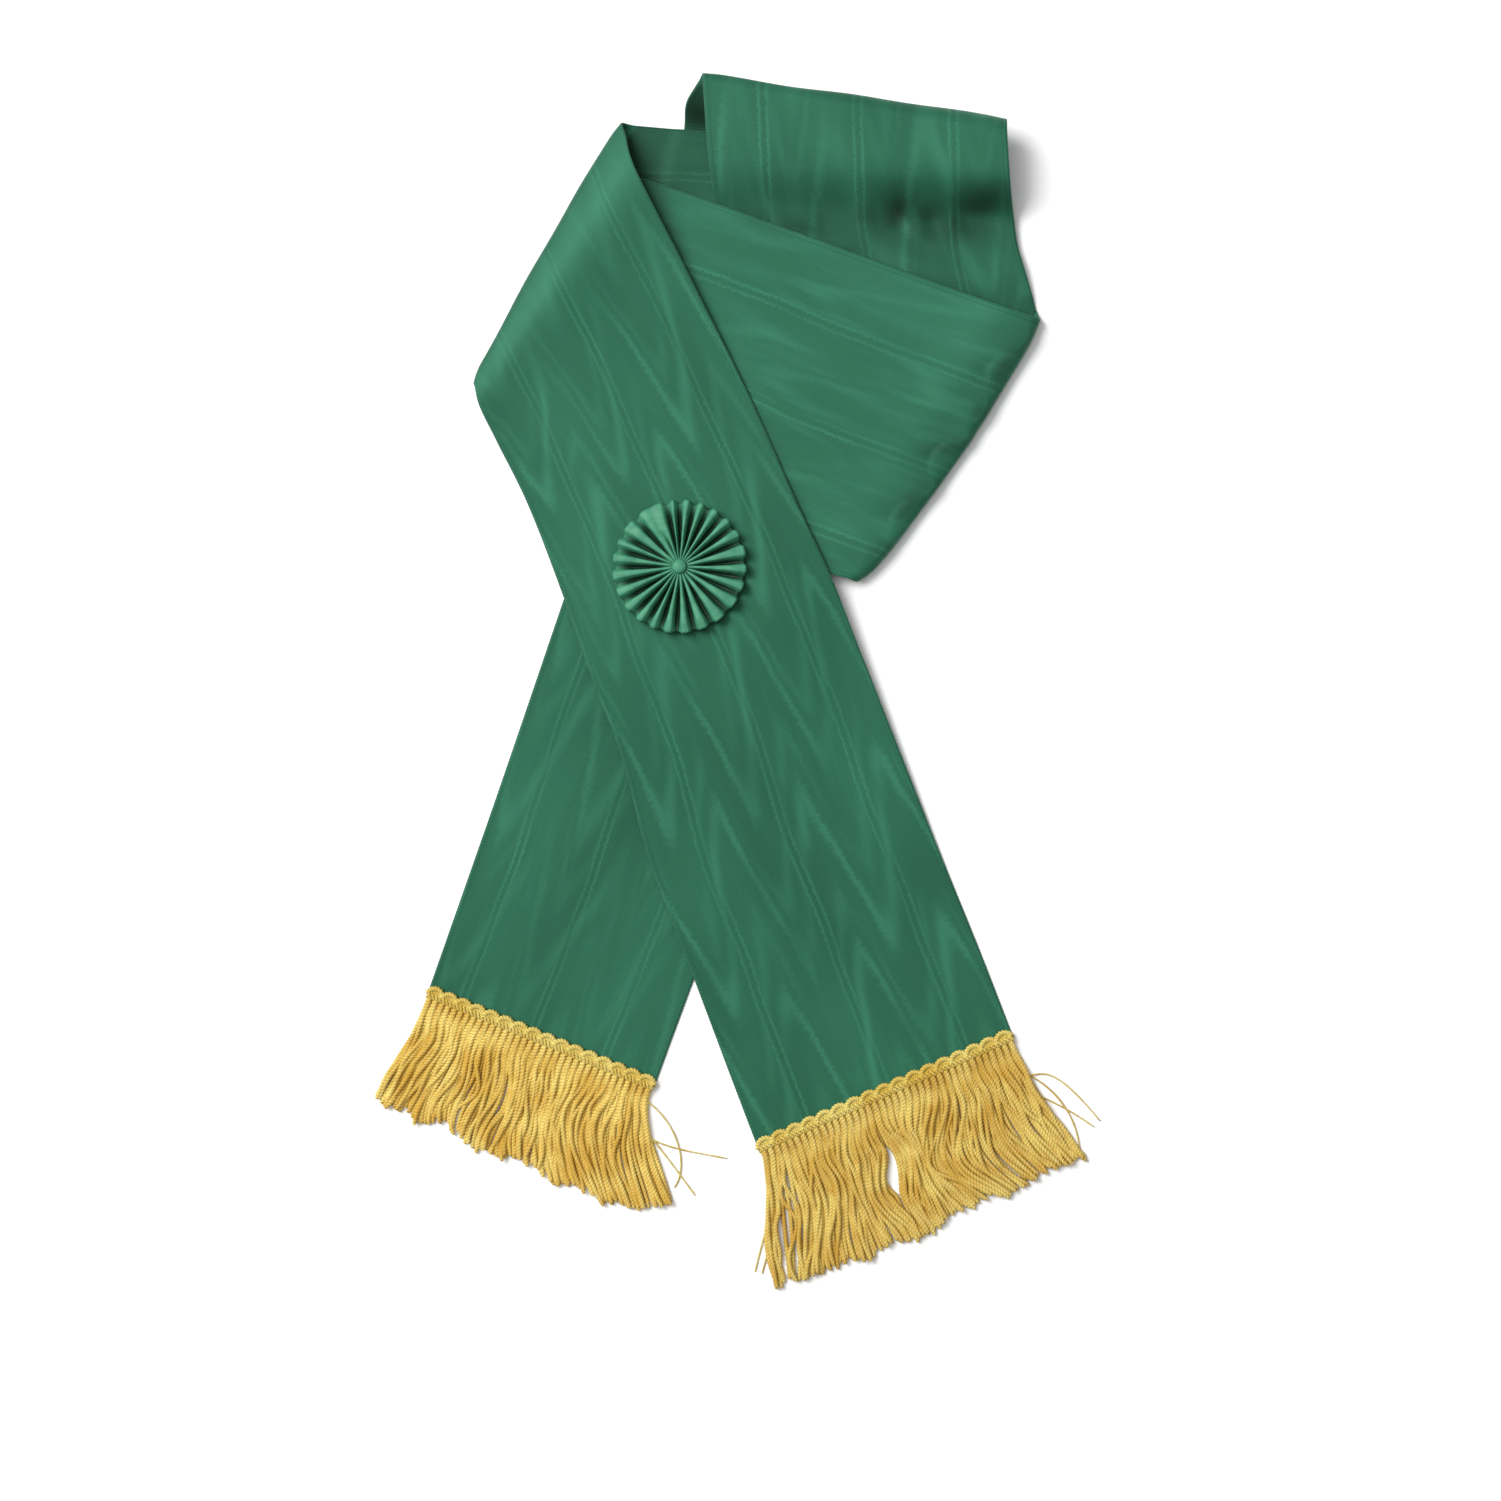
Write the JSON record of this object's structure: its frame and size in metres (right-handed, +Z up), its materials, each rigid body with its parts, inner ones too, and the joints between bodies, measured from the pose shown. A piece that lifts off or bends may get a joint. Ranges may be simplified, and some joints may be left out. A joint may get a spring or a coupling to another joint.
{
  "type": "ceremonial sash",
  "caption": "Moire ribbon sash lying folded in a loop with crossing tails, a pleated rosette with a covered button, and gold fringe under a scalloped heading on each end.",
  "frame": {"origin": "under the centre of the laid-out sash, on the surface it lies on", "axes": "+Y from the fringed tails towards the top of the loop, +X to the right seen from above, +Z up from the surface"},
  "size_m": [0.284, 0.489, 0.0195],
  "materials": {
    "moire_ribbon": "moire faille ribbon, soft sheen, watered figure along its length",
    "gold_fringe": "twisted rayon strands with a silky lustre",
    "rosette_ribbon": "pleated satin-faced ribbon",
    "button_cover": "ribbon drawn over a small button"
  },
  "bodies": {
    "root": {"sash_ribbon": "moire_ribbon", "front_fringe": "gold_fringe", "back_fringe": "gold_fringe", "rosette": "rosette_ribbon", "rosette_button": "button_cover"}
  },
  "joints": []
}
